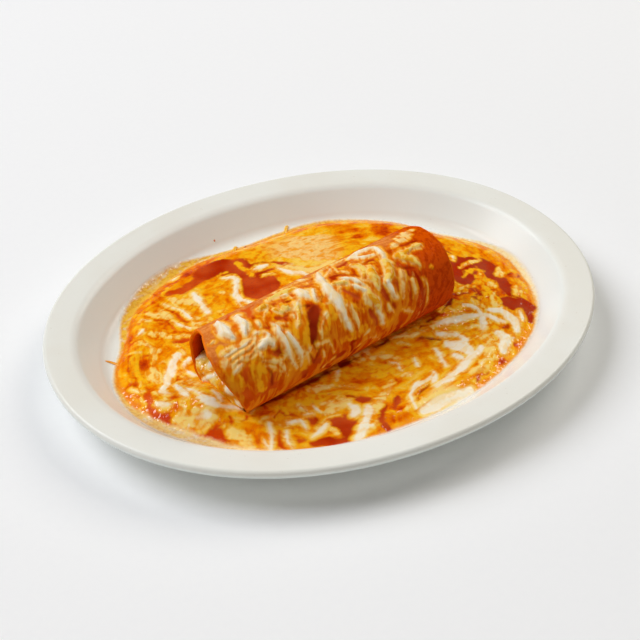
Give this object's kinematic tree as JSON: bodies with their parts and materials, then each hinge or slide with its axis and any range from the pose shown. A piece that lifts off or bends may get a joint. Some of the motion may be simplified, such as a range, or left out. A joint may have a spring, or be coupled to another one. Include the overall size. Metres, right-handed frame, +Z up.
{
  "type": "enchilada on an oval platter",
  "caption": "Oval glazed platter holding a rolled, filled corn tortilla in red chili sauce under melted white and yellow cheese.",
  "frame": {"origin": "centre of the platter's foot, on the table", "axes": "+X along the platter's long axis, +Z up, -Y towards the side that the picture was taken from"},
  "size_m": [0.305, 0.244, 0.0545],
  "materials": {
    "glaze": "gloss",
    "sauce_and_cheese": "wet gloss",
    "tortilla": "satin, sauced",
    "filling": "moist"
  },
  "bodies": {
    "root": {"platter": "glaze", "sauce_pool": "sauce_and_cheese", "rolled_tortilla": "tortilla", "filling": "filling"}
  },
  "joints": []
}
